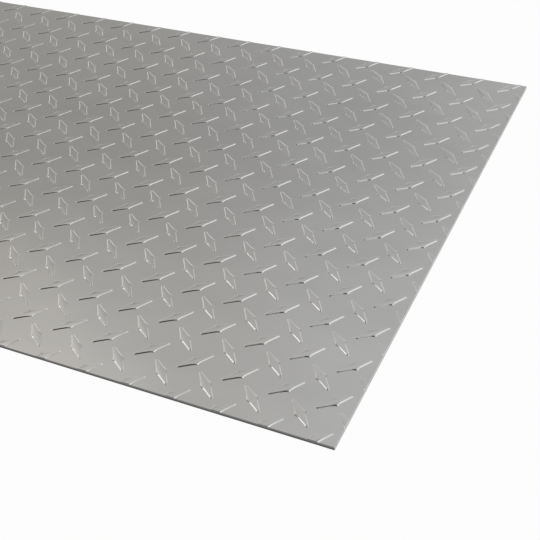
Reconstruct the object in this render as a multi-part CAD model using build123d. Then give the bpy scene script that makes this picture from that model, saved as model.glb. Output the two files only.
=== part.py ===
"""Aluminium tread plate: one rolled sheet with raised diamond lugs on its top, sheared to a stock size.

Millimetres. The origin is at the middle of the plain underside, X runs along the sheet and Z is up.
"""

from build123d import *
import math
import os

# Sheet, measured between the lugs
sheet_length = 609.6
sheet_width = 457.2
sheet_thickness = 2.54

# One lug: a long diamond with blunt tips, leaning flanks and a flat top
lug_length = 26.4
lug_width = 7.4
tip_width = 2.0
lug_height = 0.6
flank_lean = 45.0

# Pattern: a square lattice of lugs, and crossed lugs in the middles of its squares
lug_pitch = 34.4
lug_turn = 45.0
end_margin = 14.4
front_margin = 1.5

# Shorter stubs of lugs than this are left off the sheared edges
least_stub = 4.0


def diamond_lug():
    """One lug standing on the XY plane, its long axis along X."""
    tip = lug_length / 2
    belly = lug_width / 2
    blunt = tip_width / 2
    far_side = [(tip, blunt), (0, belly), (-tip, blunt)]
    near_side = [(-tip, -blunt), (0, -belly), (tip, -blunt)]
    outline = Polyline(*far_side, *near_side, close=True)
    return extrude(make_face(outline), amount=lug_height, taper=flank_lean)


def lattice_places(offset):
    """Lug centres over the whole sheet, counted from its right-hand front corner by whole pitches."""
    columns = math.ceil(sheet_length / lug_pitch) + 1
    rows = math.ceil(sheet_width / lug_pitch) + 1
    for column in range(-1, columns):
        for row in range(-1, rows):
            x = sheet_length / 2 - end_margin - (column + offset) * lug_pitch
            y = -sheet_width / 2 + front_margin + (row + offset) * lug_pitch
            yield x, y


def sheared_lugs(turn, offset, outline):
    """Lugs of one hand, those across a sheared edge cut off flush with it."""
    lug = Rot(0, 0, turn) * diamond_lug()
    reach = lug.bounding_box().size / 2
    lugs = []
    for x, y in lattice_places(offset):
        overhang_x = abs(x) + reach.X - sheet_length / 2
        overhang_y = abs(y) + reach.Y - sheet_width / 2
        if overhang_x > 2 * reach.X - least_stub or overhang_y > 2 * reach.Y - least_stub:
            continue
        placed = Pos(x, y, sheet_thickness) * lug
        if overhang_x > 0 or overhang_y > 0:
            placed = placed & outline
        lugs.append(placed)
    return lugs


def upright_box(height):
    """A block on the sheet's outline, standing on the underside's plane."""
    return Box(sheet_length, sheet_width, height, align=(Align.CENTER, Align.CENTER, Align.MIN))


def tread_plate():
    """The sheet and both hands of lug as one rolled piece."""
    outline = upright_box(sheet_thickness + lug_height)
    lugs = sheared_lugs(lug_turn, 0, outline)
    lugs += sheared_lugs(-lug_turn, 1 / 2, outline)
    return upright_box(sheet_thickness).fuse(*lugs)


os.makedirs("parts", exist_ok=True)
export_step(tread_plate(), "parts/tread_plate.step")
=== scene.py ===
"""The tread plate as it looks: rolled lugs, a bright mill finish and sheared edges, in a plain studio.

Metres, in the part's own frame: X along the sheet, Y across it to the back edge, Z up from the underside.
"""

import logging
import math
from dataclasses import dataclass, field
from enum import Enum
from typing import Any, Union

import bmesh
import bpy
import numpy as np
from mathutils import Matrix, Vector
from mathutils.geometry import delaunay_2d_cdt


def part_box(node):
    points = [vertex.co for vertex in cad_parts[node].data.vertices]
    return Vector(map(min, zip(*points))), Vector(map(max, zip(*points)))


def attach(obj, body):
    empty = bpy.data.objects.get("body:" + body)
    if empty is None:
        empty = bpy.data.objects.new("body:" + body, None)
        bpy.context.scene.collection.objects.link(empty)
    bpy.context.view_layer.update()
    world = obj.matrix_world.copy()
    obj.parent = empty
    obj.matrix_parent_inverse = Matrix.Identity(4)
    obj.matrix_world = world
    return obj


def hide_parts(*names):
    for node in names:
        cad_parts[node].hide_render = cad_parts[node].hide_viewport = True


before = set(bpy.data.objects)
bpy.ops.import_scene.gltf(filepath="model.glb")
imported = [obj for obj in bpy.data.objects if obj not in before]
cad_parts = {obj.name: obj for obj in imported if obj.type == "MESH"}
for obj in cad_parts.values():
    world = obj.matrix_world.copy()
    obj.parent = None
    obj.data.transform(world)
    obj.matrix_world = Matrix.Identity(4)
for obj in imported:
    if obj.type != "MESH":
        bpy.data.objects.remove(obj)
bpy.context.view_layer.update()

LOG = logging.getLogger("tread_plate")
MM = 0.001
NODE = "tread_plate"
BODY = "root"

# The colour sockets of a Mix node, which shares its sockets' names between numbers, vectors and colours
MIX_FACTOR = 0
MIX_FIRST = 6
MIX_SECOND = 7
MIX_RESULT = 2

# Noise has two finer octaves and swings about its mean
NOISE_OCTAVES = 2.0
NOISE_MEAN = 0.5

# Places in the sheet's list of finishes, after the rolled one
LONG_EDGE = 1
SHORT_END = 2

# Distances that count as none: from a cutting plane, from an edge's line, and between two points
CUT_SLACK = 1e-8
EDGE_SLACK = 1e-6
POINT_SLACK = 1e-9

# Decimal places that tell two lug centres apart, and how often a search by halving halves
CENTRE_DIGITS = 9
HALVINGS = 40

# Distance to each side over which the top's slope is measured
SLOPE_STEP = 2e-6

# Least part of a normal along a direction for a face to count as facing it, and less for the lugs' flanks
FACING = 0.5
TOP_FACING = 0.1

# Layout for painting: its name, how far the underside is squeezed, gaps between pieces, room round them all
PLAN_MAP = "OFBake"
UNDER_SQUEEZE = 0.3
MAP_GAP = 0.01
MAP_ROOM = 1.1

# The corners of a square, in order round it
SQUARE = ((-1, -1), (1, -1), (1, 1), (-1, 1))

Colour = tuple[float, float, float]
Point = tuple[float, float, float]
Ends = tuple[float, float]
Operand = Union["Shade", float]


class Hand(Enum):
    """The two hands of lug, which cross at right angles."""

    RIGHT = "right"
    LEFT = "left"

    @property
    def turn(self) -> float:
        """Angle of the long axis from the sheet's length, in radians."""
        return math.radians(45 if self is Hand.RIGHT else -45)

    @property
    def offset(self) -> float:
        """Place on the lattice, in pitches: left-hand lugs stand in the middles of the squares."""
        return 0.0 if self is Hand.RIGHT else 0.5


class Side(Enum):
    """The four sheared edges, by the axis that they face along and its sign."""

    RIGHT = (0, 1)
    LEFT = (0, -1)
    BACK = (1, 1)
    FRONT = (1, -1)

    @property
    def outward(self) -> Vector:
        """Unit vector out of the sheet."""
        axis, sign = self.value
        return Vector((sign, 0, 0)) if axis == 0 else Vector((0, sign, 0))

    @property
    def finish(self) -> int:
        """Place of the edge's finish in the sheet's list."""
        return SHORT_END if self.value[0] == 0 else LONG_EDGE


class Shade:
    """One value in a shader: wraps an output socket, so that sums on values add Math nodes."""

    def __init__(self, graph: "ShaderGraph", socket: bpy.types.NodeSocket) -> None:
        """Keeps the graph that new nodes go into and the socket that holds the value.

        Args:
            graph: the graph that the socket belongs to.
            socket: the output that gives the value.
        """
        self.graph = graph
        self.socket = socket

    def _math(self, operation: str, first: Operand, second: Operand) -> "Shade":
        """Adds a Math node.

        Args:
            operation: Blender's name of the operation.
            first: the left-hand value.
            second: the right-hand value.

        Returns:
            The node's result.
        """
        return self.graph.add("ShaderNodeMath", {"operation": operation}, {0: first, 1: second})

    def __add__(self, other: Operand) -> "Shade":
        """Sum."""
        return self._math("ADD", self, other)

    def __radd__(self, other: Operand) -> "Shade":
        """Sum with a number on the left."""
        return self._math("ADD", other, self)

    def __sub__(self, other: Operand) -> "Shade":
        """Difference."""
        return self._math("SUBTRACT", self, other)

    def __rsub__(self, other: Operand) -> "Shade":
        """Difference from a number on the left."""
        return self._math("SUBTRACT", other, self)

    def __mul__(self, other: Operand) -> "Shade":
        """Product."""
        return self._math("MULTIPLY", self, other)

    def __rmul__(self, other: Operand) -> "Shade":
        """Product with a number on the left."""
        return self._math("MULTIPLY", other, self)

    def __truediv__(self, other: Operand) -> "Shade":
        """Quotient."""
        return self._math("DIVIDE", self, other)

    def __rtruediv__(self, other: Operand) -> "Shade":
        """Quotient of a number on the left."""
        return self._math("DIVIDE", other, self)

    def step(self, low: float, high: float) -> "Shade":
        """A soft step from 0 at low to 1 at high, where low may be the larger.

        Args:
            low: the value where the step starts.
            high: the value where it ends.

        Returns:
            The stepped value.
        """
        sockets = {"Value": self, "From Min": low, "From Max": high, "To Min": 0.0, "To Max": 1.0}
        return self.graph.add("ShaderNodeMapRange", {"interpolation_type": "SMOOTHSTEP"}, sockets)

    def towards(self, other: Operand, share: "Shade") -> "Shade":
        """The value moved by a share of the way to another."""
        return self + (other - self) * share

    def output(self, name: str) -> "Shade":
        """Another output of the same node."""
        return Shade(self.graph, self.socket.node.outputs[name])


class ShaderGraph:
    """A node tree that is filled by expressions."""

    def __init__(self, tree: bpy.types.NodeTree) -> None:
        """Empties the tree.

        Args:
            tree: a material's or a world's node tree.
        """
        self.tree = tree
        tree.nodes.clear()

    def add(self, kind: str, settings: dict[str, Any], inputs: dict[Any, Any], output: Any = 0) -> Shade:
        """Adds one node.

        Args:
            kind: Blender's type name of the node.
            settings: properties of the node, set first.
            inputs: values or links of its sockets, by name or number.
            output: which output is wanted, by name or number.

        Returns:
            That output as a value.
        """
        node = self.tree.nodes.new(kind)
        for name, value in settings.items():
            setattr(node, name, value)
        for name, value in inputs.items():
            if isinstance(value, Shade):
                self.tree.links.new(value.socket, node.inputs[name])
            else:
                node.inputs[name].default_value = value
        return Shade(self, node.outputs[output])

    def close(self, kind: str, shader: Shade) -> None:
        """Links a shader to a new output node.

        Args:
            kind: type name of the output node.
            shader: what it shows.
        """
        end = self.tree.nodes.new(kind)
        self.tree.links.new(shader.socket, end.inputs["Surface"])

    def place(self) -> Shade:
        """The point's place in the part's frame."""
        return self.add("ShaderNodeTexCoord", {}, {}, "Object")

    def axes(self, vector: Shade) -> tuple[Shade, Shade, Shade]:
        """The three parts of a vector.

        Args:
            vector: the vector.

        Returns:
            Its X, Y and Z.
        """
        x = self.add("ShaderNodeSeparateXYZ", {}, {0: vector}, "X")
        return x, x.output("Y"), x.output("Z")

    def noise(self, place: Shade, waves: Point, turn: float = 0.0) -> Shade:
        """Smooth noise with its own scale along each axis.

        Args:
            place: where it is read.
            waves: how many waves fit in a metre along X, Y and Z.
            turn: angle that the noise is turned by about Z, in degrees.

        Returns:
            The noise, between 0 and 1.
        """
        turned = self.add("ShaderNodeMapping", {}, {"Vector": place, "Rotation": (0, 0, math.radians(turn))})
        spread = self.add("ShaderNodeMapping", {}, {"Vector": turned, "Scale": waves})
        return self.add("ShaderNodeTexNoise", {}, {"Vector": spread, "Scale": 1.0, "Detail": NOISE_OCTAVES})

    def blend(self, factor: Shade, first: Colour, second: Colour) -> Shade:
        """Mixes two colours.

        Args:
            factor: 0 for the first, 1 for the second.
            first: linear RGB.
            second: linear RGB.

        Returns:
            The mixed colour.
        """
        sockets = {MIX_FACTOR: factor, MIX_FIRST: (*first, 1), MIX_SECOND: (*second, 1)}
        return self.add("ShaderNodeMix", {"data_type": "RGBA"}, sockets, MIX_RESULT)

    def close_metal(self, colour: Shade, roughness: Shade, relief: Shade, depth: float) -> None:
        """Closes a material as bare metal with a fine relief.

        Args:
            colour: the base colour.
            roughness: the roughness.
            relief: the relief's height, from 0 to 1.
            depth: the relief's depth in metres.
        """
        bump = self.add("ShaderNodeBump", {}, {"Strength": 1.0, "Distance": depth, "Height": relief})
        sockets = {"Base Color": colour, "Metallic": 1.0, "Roughness": roughness, "Normal": bump}
        self.close("ShaderNodeOutputMaterial", self.add("ShaderNodeBsdfPrincipled", {}, sockets))


def new_material(name: str) -> tuple[bpy.types.Material, ShaderGraph]:
    """Makes an empty material.

    Args:
        name: what it is called.

    Returns:
        The material, and its graph to fill.
    """
    made = bpy.data.materials.new(name)
    made.use_nodes = True
    return made, ShaderGraph(made.node_tree)


def direction(azimuth: float, elevation: float) -> Vector:
    """Unit vector away from the sheet.

    Args:
        azimuth: degrees from the front, to the right.
        elevation: degrees above the floor.

    Returns:
        The vector.
    """
    turn = math.radians(azimuth)
    rise = math.radians(elevation)
    return Vector((math.sin(turn) * math.cos(rise), -math.cos(turn) * math.cos(rise), math.sin(rise)))


def read_corners(data: bpy.types.Mesh) -> tuple[np.ndarray, np.ndarray, np.ndarray]:
    """Reads a mesh by the corners of its faces.

    Args:
        data: the mesh.

    Returns:
        The place of each vertex, the vertex at each corner, and the normal of each corner's face.
    """
    places = np.empty(len(data.vertices) * 3)
    data.vertices.foreach_get("co", places)
    vertex = np.empty(len(data.loops), np.int32)
    data.loops.foreach_get("vertex_index", vertex)
    normals = np.empty(len(data.polygons) * 3)
    data.polygons.foreach_get("normal", normals)
    count = np.empty(len(data.polygons), np.int32)
    data.polygons.foreach_get("loop_total", count)
    return places.reshape(-1, 3), vertex, np.repeat(normals.reshape(-1, 3), count, axis=0)


@dataclass(frozen=True)
class RolledFinish:
    """Bright face as it leaves the rolls: fine grain along the sheet, soft clouds, a few handling scuffs.

    Waves are counted in a metre along each axis. A fade is given by the values where it starts and is full.
    """

    name: str = "rolled_aluminium"
    dull: Colour = (0.772, 0.77, 0.757)
    bright: Colour = (0.874, 0.871, 0.857)
    grain_waves: Point = (30, 1500, 30)
    grain_depth: float = 0.002 * MM
    cloud_waves: Point = (14, 24, 14)
    scuff_waves: Point = (5, 800, 5)
    scuff_turn: float = 24.0
    scuff_fade: Ends = (0.68, 0.76)
    scuff_patch_waves: Point = (14, 14, 14)
    scuff_patch_fade: Ends = (0.52, 0.62)
    polish_fade: Ends = (0.55, 0.95)
    shine: float = -0.32
    cloud_shine: float = 1.2
    grain_shine: float = 0.3
    polish_shine: float = 0.15
    roughness: float = 0.115
    cloud_roughness: float = 0.03
    grain_roughness: float = 0.04
    scuff_roughness: float = 0.1
    polish_roughness: float = -0.015

    def material(self, face_height: float, lug_height: float) -> bpy.types.Material:
        """Makes the finish, a little more polished on the lugs' tops.

        Args:
            face_height: height of the flat between the lugs.
            lug_height: how far the lugs stand above it.

        Returns:
            The material.
        """
        made, graph = new_material(self.name)
        place = graph.place()
        grain = graph.noise(place, self.grain_waves)
        cloud = graph.noise(place, self.cloud_waves)
        scuff = graph.noise(place, self.scuff_waves, self.scuff_turn).step(*self.scuff_fade)
        scuff = scuff * graph.noise(place, self.scuff_patch_waves).step(*self.scuff_patch_fade)
        rise = (graph.axes(place)[2] - face_height) / lug_height
        polish = rise.step(*self.polish_fade)
        shine = self.shine + self.cloud_shine * cloud + self.grain_shine * grain + self.polish_shine * polish
        rough = self.roughness + self.cloud_roughness * (cloud - NOISE_MEAN)
        rough = rough + self.grain_roughness * (grain - NOISE_MEAN)
        rough = rough + self.scuff_roughness * scuff + self.polish_roughness * polish
        graph.close_metal(graph.blend(shine, self.dull, self.bright), rough, grain, self.grain_depth)
        return made


@dataclass(frozen=True)
class CutFinish:
    """Cut edge: a burnished upper band over a torn, darker one, with drag lines from the blade."""

    name: str
    torn: Colour
    burnished: Colour
    roughness: float = 0.5
    burnish_roughness: float = -0.15
    burnish_share: float = 0.4
    burnish_fade: float = 0.1
    raggedness: float = 0.3
    drag_waves: Point = (900, 900, 60)
    drag_depth: float = 0.02 * MM

    def material(self, face_height: float) -> bpy.types.Material:
        """Makes the finish.

        Args:
            face_height: height of the cut, without the lugs.

        Returns:
            The material.
        """
        made, graph = new_material(self.name)
        place = graph.place()
        drag = graph.noise(place, self.drag_waves)
        ragged = graph.axes(place)[2] / face_height + self.raggedness * (drag - NOISE_MEAN)
        border = 1 - self.burnish_share
        burnish = ragged.step(border - self.burnish_fade, border + self.burnish_fade)
        rough = self.roughness + self.burnish_roughness * burnish
        graph.close_metal(graph.blend(burnish, self.torn, self.burnished), rough, drag, self.drag_depth)
        return made


# One cut edge in two copies: the front and back edges carry painted shade, very dark for the shade that the
# front edge shows towards the viewer, and the two ends are painted lighter for the light that they catch
SHADE_PAINTED_CUT = CutFinish("cut_aluminium_painted_shade", torn=(0.10, 0.10, 0.10), burnished=(0.17, 0.17, 0.168))
LIGHT_PAINTED_CUT = CutFinish("cut_aluminium_painted_light", torn=(0.48, 0.48, 0.475), burnished=(0.58, 0.58, 0.573))


@dataclass(frozen=True)
class LugForm:
    """One lug, its long axis along u: a diamond with round tips, leaning flanks and a nib at each belly.

    Its mesh has stations at shares of the half length. Each row of points has its inset, as a share of the
    flank's run, and the least share of the outline's half width that it keeps where the lug is narrow.
    """

    length: float = 26.8 * MM
    belly_width: float = 6.66 * MM
    tip_radius: float = 1.1 * MM
    nib: float = 1.15 * MM
    nib_reach: float = 1.1 * MM
    nib_round: float = 0.5 * MM
    height: float = 0.6 * MM
    flank_run: float = 0.6 * MM
    fillet_share: float = 0.42
    crown: float = 0.42
    stations: tuple[float, ...] = (0.0, 0.03, 0.08, 0.15, 0.28, 0.65, 0.87, 0.94, 0.98, 0.998)
    flank_rows: tuple[Ends, ...] = ((0.04, 0.8), (0.5, 0.6), (0.96, 0.4))
    top_row_least: float = 0.2

    def inset(self, u: np.ndarray, v: np.ndarray) -> np.ndarray:
        """Distance inside the lug's outline, as a share of the flank's run.

        Args:
            u: places along the long axis.
            v: places across it.

        Returns:
            The shares, below 0 outside the outline.
        """
        along = np.sqrt(u**2 + self.nib_round**2) - self.nib_round
        half = self.belly_width / 2
        spread = 1 + self.nib / half * np.exp(-along / self.nib_reach)
        place = np.stack([np.abs(u), np.abs(v) / spread])
        tip = self.length / 2 - self.tip_radius
        belly = half - self.tip_radius
        share = (tip * (tip - 2 * place[0]) - belly * (belly - 2 * place[1])) / (tip**2 + belly**2)
        share = np.clip(share, -1, 1)
        nearest = np.stack([tip * (1 - share), belly * (1 + share)]) / 2
        outside = np.sign(place[0] * belly + place[1] * tip - tip * belly)
        return (self.tip_radius - outside * np.hypot(*(place - nearest))) / self.flank_run

    def rise(self, u: np.ndarray, v: np.ndarray) -> np.ndarray:
        """Height above the flat: a ramp up from the outline with a fillet at each end, and a crowned top.

        Args:
            u: places along the long axis.
            v: places across it.

        Returns:
            The heights.
        """
        inset = self.inset(u, v)
        lead = self.fillet_share
        foot = np.clip(inset + lead, 0, 2 * lead) ** 2 / (4 * lead)
        shoulder = np.clip(inset - 1 + lead, 0, 2 * lead) ** 2 / (4 * lead)
        ramp = foot + np.clip(inset - lead, 0, 1) - shoulder
        ramp = np.where(inset > 1 + lead, 1.0, ramp)
        belly = self.belly_width / 2 + self.nib
        return self.height * ramp * (1 - self.crown * np.minimum(v / belly, 1) ** 2)

    def crossing(self, u: np.ndarray, inset: float) -> np.ndarray:
        """Where the flank is crossed on the way in, found by halving.

        Args:
            u: places along the long axis.
            inset: share of the flank's run that lies outside the crossing.

        Returns:
            The distance from the long axis, 0 where the lug is too narrow there.
        """
        low = np.zeros_like(u)
        high = np.full_like(u, self.belly_width)
        for _ in range(HALVINGS):
            middle = (low + high) / 2
            inside = self.inset(u, middle) > inset
            low = np.where(inside, middle, low)
            high = np.where(inside, high, middle)
        return low

    def plan(self) -> tuple[np.ndarray, list[list[int]], list[int]]:
        """The lug's mesh seen from above: rows across it at each station, from tip to tip.

        Returns:
            The points, the faces, and the outline as a ring of points.
        """
        share = np.array(self.stations)
        share = np.concatenate([-share[:0:-1], share])
        lead = self.fillet_share
        end = self.length / 2 + lead * self.flank_run
        u = share * end
        edge = self.crossing(u, -lead)
        inner = (*self.flank_rows, (1 + lead, self.top_row_least))
        rows = [edge, *(np.maximum(self.crossing(u, inset), least * edge) for inset, least in inner)]
        across = rows + [-row for row in reversed(rows)]
        count = len(u)
        points = np.stack([np.broadcast_to(u, (len(across), count)), across], -1).reshape(-1, 2)
        faces = []
        for row in range(len(across) - 1):
            for column in range(count - 1):
                corner = row * count + column
                faces.append([corner, corner + count, corner + count + 1, corner + 1])
        near, far = len(points), len(points) + 1
        points = np.vstack([points, [(-end, 0), (end, 0)]])
        for row in range(len(across) - 1):
            first = row * count
            last = first + count - 1
            faces.append([near, first + count, first])
            faces.append([far, last, last + count])
        bottom = (len(across) - 1) * count
        ring = [near, *range(bottom, bottom + count), far, *range(count - 1, -1, -1)]
        return points, faces, ring


@dataclass(frozen=True)
class LugLattice:
    """Where the lugs stand: a square lattice of one hand, the other hand in the middles of its squares."""

    half_length: float
    half_width: float
    pitch: float = 34.4 * MM
    end_margin: float = 14.4 * MM
    front_margin: float = 1.5 * MM
    least_stub: float = 4.0 * MM

    def nearest(self, hand: Hand, x: np.ndarray, y: np.ndarray) -> tuple[np.ndarray, np.ndarray]:
        """The nearest lug of one hand.

        Args:
            hand: which lugs.
            x: places along the sheet.
            y: places across it.

        Returns:
            The lug's centre in x and y.
        """
        start_x = self.half_length - self.end_margin - hand.offset * self.pitch
        start_y = -self.half_width + self.front_margin + hand.offset * self.pitch
        centre_x = start_x + np.round((x - start_x) / self.pitch) * self.pitch
        centre_y = start_y + np.round((y - start_y) / self.pitch) * self.pitch
        return centre_x, centre_y

    def kept(self, lug: LugForm, x: np.ndarray, y: np.ndarray) -> np.ndarray:
        """Whether enough of a lug is left inside the sheared edges.

        Args:
            lug: the lug's form.
            x: centres along the sheet.
            y: centres across it.

        Returns:
            True where the lug is there.
        """
        reach = lug.length / 2 * math.cos(Hand.RIGHT.turn) - self.least_stub
        return (np.abs(x) < self.half_length + reach) & (np.abs(y) < self.half_width + reach)

    def centres(self, lug: LugForm, hand: Hand) -> np.ndarray:
        """All lugs of one hand.

        Args:
            lug: the lug's form.
            hand: which lugs.

        Returns:
            Their centres, one row each.
        """
        steps_x = np.arange(-self.half_length - self.pitch, self.half_length + 2 * self.pitch, self.pitch)
        steps_y = np.arange(-self.half_width - self.pitch, self.half_width + 2 * self.pitch, self.pitch)
        x, y = (grid.ravel() for grid in np.meshgrid(steps_x, steps_y))
        centre_x, centre_y = self.nearest(hand, x, y)
        kept = self.kept(lug, centre_x, centre_y)
        return np.unique(np.stack([centre_x, centre_y], 1)[kept].round(CENTRE_DIGITS), axis=0)

    def rise(self, lug: LugForm, x: np.ndarray, y: np.ndarray) -> np.ndarray:
        """Height of the lugs above the flat.

        Args:
            lug: the lug's form.
            x: places along the sheet.
            y: places across it.

        Returns:
            The heights, 0 between the lugs.
        """
        total = np.zeros_like(x)
        for hand in Hand:
            centre_x, centre_y = self.nearest(hand, x, y)
            along = math.cos(hand.turn)
            across = math.sin(hand.turn)
            u = (x - centre_x) * along + (y - centre_y) * across
            v = (y - centre_y) * along - (x - centre_x) * across
            total += np.where(self.kept(lug, centre_x, centre_y), lug.rise(u, v), 0.0)
        return total


@dataclass
class TreadSheet:
    """The rolled sheet: its lugs, its flat between them, its sheared edges and its plain underside."""

    low: Vector
    high: Vector
    lug: LugForm = field(default_factory=LugForm)
    rollover_reach: float = 0.3 * MM
    rollover_depth: float = 0.06 * MM
    overhang: float = 20.0 * MM
    name: str = "rolled_tread_plate"

    def __post_init__(self) -> None:
        """Works out what follows from the sheet's box."""
        self.half_length = self.high.x
        self.half_width = self.high.y
        self.face_height = self.high.z - self.lug.height
        self.lattice = LugLattice(self.half_length, self.half_width)

    def half_span(self, axis: int) -> float:
        """Half the sheet's size along X or Y, by the axis's number."""
        return self.half_length if axis == 0 else self.half_width

    def surface(self, x: np.ndarray, y: np.ndarray) -> np.ndarray:
        """Height of the top: the flat, its lugs, and the slight droop that the shears leave along the edges.

        Args:
            x: places along the sheet.
            y: places across it.

        Returns:
            The heights.
        """
        margin = np.minimum(self.half_length - np.abs(x), self.half_width - np.abs(y))
        droop = self.rollover_depth * np.clip(1 - margin / self.rollover_reach, 0, 1) ** 2
        return self.face_height + self.lattice.rise(self.lug, x, y) - droop

    def normals(self, x: np.ndarray, y: np.ndarray) -> np.ndarray:
        """Directions square to the top.

        Args:
            x: places along the sheet.
            y: places across it.

        Returns:
            One unit vector a row.
        """
        run = 2 * SLOPE_STEP
        slope_x = (self.surface(x + SLOPE_STEP, y) - self.surface(x - SLOPE_STEP, y)) / run
        slope_y = (self.surface(x, y + SLOPE_STEP) - self.surface(x, y - SLOPE_STEP)) / run
        found = np.stack([-slope_x, -slope_y, np.ones_like(x)], 1)
        return found / np.linalg.norm(found, axis=1, keepdims=True)

    def pattern(self) -> tuple[np.ndarray, list[list[int]]]:
        """The top seen from above, before it is sheared: every lug's mesh and the flat between them.

        Returns:
            The points and the faces.
        """
        plan, plan_faces, ring = self.lug.plan()
        points, faces, rings = [], [], []
        for hand in Hand:
            along = math.cos(hand.turn)
            across = math.sin(hand.turn)
            turned = plan @ np.array([[along, across], [-across, along]])
            for centre in self.lattice.centres(self.lug, hand):
                first = len(points) * len(plan)
                points.append(turned + centre)
                faces += [[first + corner for corner in face] for face in plan_faces]
                rings.append([first + corner for corner in ring])
        points = np.vstack(points)
        outer = np.array([self.half_length + self.overhang, self.half_width + self.overhang])
        border = range(len(points), len(points) + len(SQUARE))
        points = np.vstack([points, outer * SQUARE])
        used = np.array([*np.ravel(rings), *border])
        size = len(ring)
        outlines = [list(range(start, start + size)) for start in range(0, len(rings) * size, size)]
        flat = [Vector(point) for point in points[used]]
        _, _, flat_faces, sources, _, lugs_there = delaunay_2d_cdt(flat, [], outlines, 0, POINT_SLACK)
        for face, lugs in zip(flat_faces, lugs_there):
            if not lugs:
                faces.append([int(used[sources[corner][0]]) for corner in face])
        return points, faces

    def shear(self, mesh: bmesh.types.BMesh) -> None:
        """Cuts the pattern off at the four edges, with a row of points along the droop inside each.

        Args:
            mesh: the pattern, which is changed.
        """
        for side in Side:
            reach = self.half_span(side.value[0])
            for inset in (0.0, self.rollover_reach / 2, self.rollover_reach):
                bmesh.ops.bisect_plane(
                    mesh,
                    geom=mesh.verts[:] + mesh.edges[:] + mesh.faces[:],
                    dist=CUT_SLACK,
                    plane_co=side.outward * (reach - inset),
                    plane_no=side.outward,
                    clear_outer=inset == 0.0,
                )

    def close(self, mesh: bmesh.types.BMesh) -> None:
        """Adds the four cut faces and the underside.

        Args:
            mesh: the sheared top, which is changed.
        """
        top = mesh.verts[:]
        corners = {}
        for x in (-self.half_length, self.half_length):
            for y in (-self.half_width, self.half_width):
                corners[x > 0, y > 0] = mesh.verts.new((x, y, self.low.z))
        for side in Side:
            axis, sign = side.value
            reach = sign * self.half_span(axis)
            chain = [vert for vert in top if abs(vert.co[axis] - reach) < EDGE_SLACK]
            chain.sort(key=lambda vert: vert.co[1 - axis])
            outer = sign > 0
            start, end = (corners[(outer, far) if axis == 0 else (far, outer)] for far in (False, True))
            wall = mesh.faces.new([start, *chain, end])
            wall.normal_update()
            if wall.normal.dot(side.outward) < 0:
                wall.normal_flip()
            wall.material_index = side.finish
        underside = [corners[key] for key in ((False, False), (False, True), (True, True), (True, False))]
        mesh.faces.new(underside).normal_update()

    def shade(self, data: bpy.types.Mesh) -> None:
        """Gives every corner its true normal, so that the flats mirror flat and the lugs round.

        Args:
            data: the finished mesh.
        """
        places, vertex, facing = read_corners(data)
        true = self.normals(places[:, 0], places[:, 1])[vertex]
        is_top = facing[:, 2:] > TOP_FACING
        data.shade_smooth()
        data.normals_split_custom_set(np.where(is_top, true, facing).tolist())

    def lay_out(self, data: bpy.types.Mesh) -> None:
        """Lays the surface out flat for painting: the top, the underside beside it, the edges as strips.

        Args:
            data: the finished mesh.
        """
        layer = data.uv_layers.new(name=PLAN_MAP)
        places, vertex, facing = read_corners(data)
        at = places[vertex]
        length = 2 * self.half_length
        width = 2 * self.half_width
        gap = MAP_GAP * length
        across = at[:, 0] + self.half_length
        up = at[:, 1] + self.half_width
        up = np.where(facing[:, 2] < -FACING, up * UNDER_SQUEEZE + width + gap, up)
        shelf = width + gap + UNDER_SQUEEZE * width
        for side in Side:
            shelf += gap
            along = 1 - side.value[0]
            wall = facing @ np.array(side.outward) > FACING
            across = np.where(wall, at[:, along] + self.half_span(along), across)
            up = np.where(wall, shelf + at[:, 2], up)
        layer.uv.foreach_set("vector", np.stack([across, up], 1).ravel() / (MAP_ROOM * length))

    def dress(self, data: bpy.types.Mesh) -> None:
        """Gives the sheet its normals, its layout and its finishes.

        Args:
            data: the finished mesh.
        """
        self.shade(data)
        self.lay_out(data)
        data.materials.append(RolledFinish().material(self.face_height, self.lug.height))
        # The long edges take the cut finish with painted shade, the ends the copy painted lighter
        data.materials.append(SHADE_PAINTED_CUT.material(self.face_height))
        data.materials.append(LIGHT_PAINTED_CUT.material(self.face_height))

    def build(self) -> bpy.types.Object:
        """Makes the sheet as one piece.

        Returns:
            The finished object, dressed and riding on the part's body.
        """
        points, faces = self.pattern()
        data = bpy.data.meshes.new(self.name)
        flat = np.column_stack([points, np.zeros(len(points))])
        data.from_pydata(flat.tolist(), [], faces)
        mesh = bmesh.new()
        mesh.from_mesh(data)
        self.shear(mesh)
        places = np.array([vert.co[:2] for vert in mesh.verts])
        heights = self.surface(places[:, 0], places[:, 1])
        for vert, height in zip(mesh.verts, heights):
            vert.co.z = height
        self.close(mesh)
        mesh.to_mesh(data)
        mesh.free()
        self.dress(data)
        piece = bpy.data.objects.new(self.name, data)
        bpy.context.scene.collection.objects.link(piece)
        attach(piece, BODY)
        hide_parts(NODE)
        return piece


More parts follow.
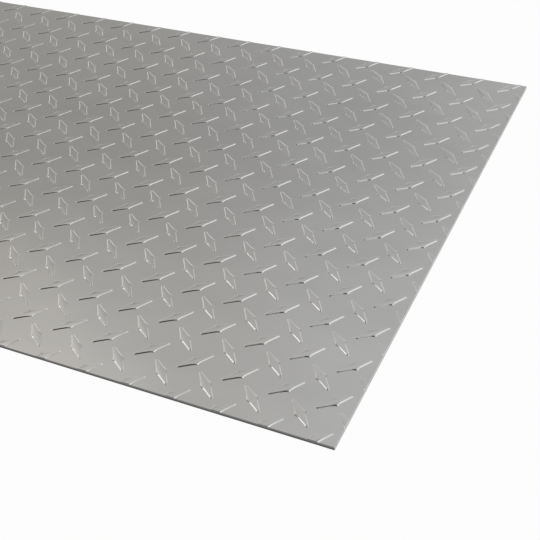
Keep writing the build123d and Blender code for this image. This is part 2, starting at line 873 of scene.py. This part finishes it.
@dataclass(frozen=True)
class Viewpoint:
    """Where the picture is taken from, and through which lens."""

    azimuth: float = 28.6
    elevation: float = 39.97
    roll: float = -5.43
    distance: float = 0.7952
    target: Point = (0.1943, -0.0874, 0.00254)
    focal_mm: float = 70.87
    sensor_mm: float = 36.0

    def axes(self) -> tuple[Vector, Vector, Vector]:
        """The camera's own directions.

        Returns:
            Its right, its up, and back towards the eye.
        """
        turn = math.radians(self.azimuth)
        back = direction(self.azimuth, self.elevation)
        right = Vector((math.cos(turn), math.sin(turn), 0))
        up = back.cross(right)
        lean = math.radians(self.roll)
        tilted = math.cos(lean) * right + math.sin(lean) * up
        return tilted, back.cross(tilted), back

    def build(self) -> bpy.types.Object:
        """Makes the camera and looks through it.

        Returns:
            The camera.
        """
        right, up, back = self.axes()
        lens = bpy.data.cameras.new("studio_camera")
        lens.lens = self.focal_mm
        lens.sensor_width = self.sensor_mm
        camera = bpy.data.objects.new("studio_camera", lens)
        turned = Matrix((right, up, back)).transposed().to_4x4()
        camera.matrix_world = Matrix.Translation(Vector(self.target) + self.distance * back) @ turned
        bpy.context.scene.collection.objects.link(camera)
        bpy.context.scene.camera = camera
        return camera


@dataclass(frozen=True)
class Softbox:
    """A large soft lamp that faces the sheet, placed by its bearing from the viewer and its elevation.

    Its level is how light its face looks, where 1 is white.
    """

    name: str
    bearing: float
    elevation: float
    distance: float
    width: float
    height: float
    level: float

    def build(self, view: Viewpoint) -> bpy.types.Object:
        """Hangs the lamp.

        Args:
            view: the viewpoint that bearings are counted from, to the right.

        Returns:
            The lamp.
        """
        away = direction(view.azimuth + self.bearing, self.elevation)
        data = bpy.data.lights.new(self.name, "AREA")
        data.shape = "RECTANGLE"
        data.size = self.width
        data.size_y = self.height
        data.energy = self.level * math.pi * self.width * self.height
        lamp = bpy.data.objects.new(self.name, data)
        lamp.location = away * self.distance
        lamp.rotation_euler = away.to_track_quat("Z", "Y").to_euler()
        bpy.context.scene.collection.objects.link(lamp)
        return lamp


@dataclass(frozen=True)
class Tent:
    """The air round the sheet: a level for each direction, where 1 is white.

    It is white low down and grey ahead of the viewer and overhead, with a dark opening high up behind them.
    A direction has a side to the viewer's right, a forward part and a z. A fade is given by the values of one
    of them where it starts and where it is full. The sector and the backdrop's gap go by the side's square.
    """

    azimuth: float
    warm: Colour = (1.035, 1.0, 0.955)
    plain: Colour = (1.0, 1.0, 1.0)
    plain_fade: Ends = (-0.3, 0.12)
    horizon: float = 0.87
    horizon_fade: Ends = (0.345, 0.213)
    rim_fade: Ends = (0.214, -0.035)
    overhead: float = 0.24
    overhead_fade: Ends = (0.76, 0.88)
    sector_fade: Ends = (0.377, 0.272)
    sector_forward_fade: Ends = (-0.285, 0.204)
    ahead: float = 0.262
    ahead_high: float = 0.195
    high_fade: Ends = (0.46, 0.78)
    ahead_low: float = 0.089
    low_fade: Ends = (0.58, 0.40)
    ahead_left: float = 0.287
    left_fade: Ends = (-0.05, -0.30)
    ahead_right: float = 0.095
    right_fade: Ends = (-0.25, 0.25)
    ahead_far_right: float = 0.06
    far_right_fade: Ends = (0.12, 0.26)
    opening: float = 0.036
    opening_bearing: float = 10.3
    opening_elevation: float = 70.0
    opening_radii: Ends = (12.3, 29.2)
    backdrop: float = 1.0
    backdrop_low_fade: Ends = (0.36, 0.06)
    backdrop_side_fade: Ends = (0.45, 0.25)
    backdrop_forward_fade: Ends = (0.7, 0.85)
    backdrop_gap: float = 0.45
    backdrop_gap_fade: Ends = (0.01, 0.05)

    def level_ahead(self, side: Shade, z: Shade) -> Shade:
        """The grey ahead of the viewer, which the flats mirror.

        Args:
            side: the direction's part to the right.
            z: its part upwards.

        Returns:
            The level.
        """
        high = z.step(*self.high_fade)
        level = self.ahead + self.ahead_high * high + self.ahead_low * z.step(*self.low_fade)
        level = level + self.ahead_left * side.step(*self.left_fade) * high
        level = level + self.ahead_right * side.step(*self.right_fade)
        level = level + self.ahead_far_right * side.step(*self.far_right_fade)
        return level.towards(self.overhead, z.step(*self.overhead_fade))

    def level_overhead(self, side: Shade, forward: Shade, z: Shade) -> Shade:
        """The grey overhead, with the dark opening.

        Args:
            side: the direction's part to the right.
            forward: its part away from the viewer.
            z: its part upwards.

        Returns:
            The level.
        """
        aim = direction(self.opening_bearing, self.opening_elevation)
        inwards = aim.x * side + aim.y * forward + aim.z * z
        inner, outer = (math.cos(math.radians(radius)) for radius in self.opening_radii)
        return self.overhead + (self.opening - self.overhead) * inwards.step(outer, inner)

    def backdrop_share(self, side: Shade, forward: Shade, z: Shade) -> Shade:
        """How far the backdrop covers a direction: low down ahead, with a thinner gap straight ahead.

        Args:
            side: the direction's part to the right.
            forward: its part away from the viewer.
            z: its part upwards.

        Returns:
            The share.
        """
        share = z.step(*self.backdrop_low_fade) * side.step(*self.backdrop_side_fade)
        share = share * forward.step(*self.backdrop_forward_fade)
        past_gap = (side * side).step(*self.backdrop_gap_fade)
        return share * (self.backdrop_gap + (1 - self.backdrop_gap) * past_gap)

    def build(self) -> bpy.types.World:
        """Puts the tent up.

        Returns:
            The world.
        """
        world = bpy.data.worlds.new("studio_tent")
        world.use_nodes = True
        bpy.context.scene.world = world
        graph = ShaderGraph(world.node_tree)
        x, y, z = graph.axes(graph.add("ShaderNodeTexCoord", {}, {}, "Generated"))
        turn = math.radians(self.azimuth)
        side = math.cos(turn) * x + math.sin(turn) * y
        forward = -math.sin(turn) * x + math.cos(turn) * y
        sector = (side * side).step(*self.sector_fade) * forward.step(*self.sector_forward_fade)
        level = self.level_overhead(side, forward, z)
        level = level.towards(self.horizon, z.step(*self.horizon_fade))
        level = level.towards(self.level_ahead(side, z), sector)
        level = level.towards(self.horizon, z.step(*self.rim_fade))
        level = level.towards(self.backdrop, self.backdrop_share(side, forward, z))
        tint = graph.blend(side.step(*self.plain_fade), self.warm, self.plain)
        colour = graph.add("ShaderNodeVectorMath", {"operation": "SCALE"}, {0: tint, "Scale": level})
        graph.close("ShaderNodeOutputWorld", graph.add("ShaderNodeBackground", {}, {"Color": colour}))
        return world


@dataclass(frozen=True)
class Studio:
    """A pale floor in a soft tent, with soft lamps to the viewer's right, left and far left."""

    view: Viewpoint
    floor_size: float = 60.0
    floor_drop: float = 0.2 * MM
    floor_colour: Colour = (0.85, 0.85, 0.85)
    floor_glow: float = 0.97
    softboxes: tuple[Softbox, ...] = (
        Softbox(
            "right_softbox", bearing=79.5, elevation=59.3, distance=2.65, width=2.43, height=1.98, level=0.68
        ),
        Softbox(
            "left_softbox", bearing=-104.0, elevation=32.0, distance=2.78, width=0.9, height=0.8, level=1.25
        ),
        Softbox(
            "far_softbox", bearing=-143.5, elevation=31.0, distance=5.0, width=1.0, height=1.1, level=0.5
        ),
    )

    def floor(self) -> bpy.types.Object:
        """Lays the floor, white to the eye and in reflections, with the sheet's shadow on it.

        Returns:
            The floor.
        """
        reach = self.floor_size / 2
        data = bpy.data.meshes.new("studio_floor")
        corners = [(x * reach, y * reach, -self.floor_drop) for x, y in SQUARE]
        data.from_pydata(corners, [], [range(len(corners))])
        paint, graph = new_material("studio_floor")
        seen = graph.add("ShaderNodeLightPath", {}, {}, "Is Camera Ray")
        seen = seen + seen.output("Is Glossy Ray") + seen.output("Is Transmission Ray")
        matt = graph.add("ShaderNodeBsdfDiffuse", {}, {"Color": (*self.floor_colour, 1)})
        white = graph.add("ShaderNodeEmission", {}, {"Strength": 1.0})
        glow = self.floor_glow * seen.step(0, 1)
        lit = graph.add("ShaderNodeMixShader", {}, {0: glow, 1: matt, 2: white})
        graph.close("ShaderNodeOutputMaterial", lit)
        data.materials.append(paint)
        floor = bpy.data.objects.new("studio_floor", data)
        bpy.context.scene.collection.objects.link(floor)
        return floor

    def build(self) -> list[bpy.types.Object]:
        """Sets the studio up.

        Returns:
            The floor and the lamps.
        """
        Tent(self.view.azimuth).build()
        bpy.context.scene.view_settings.view_transform = "Standard"
        return [self.floor(), *(box.build(self.view) for box in self.softboxes)]


def main() -> None:
    """Builds the sheet, then the studio round it."""
    logging.basicConfig(level=logging.INFO, format="%(message)s")
    low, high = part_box(NODE)
    sheet = TreadSheet(Vector(low), Vector(high)).build()
    LOG.info("%s: %d faces", sheet.name, len(sheet.data.polygons))
    view = Viewpoint()
    LOG.info("%s in place", view.build().name)
    for prop in Studio(view).build():
        LOG.info("%s in place", prop.name)


if __name__ == "__main__":
    main()
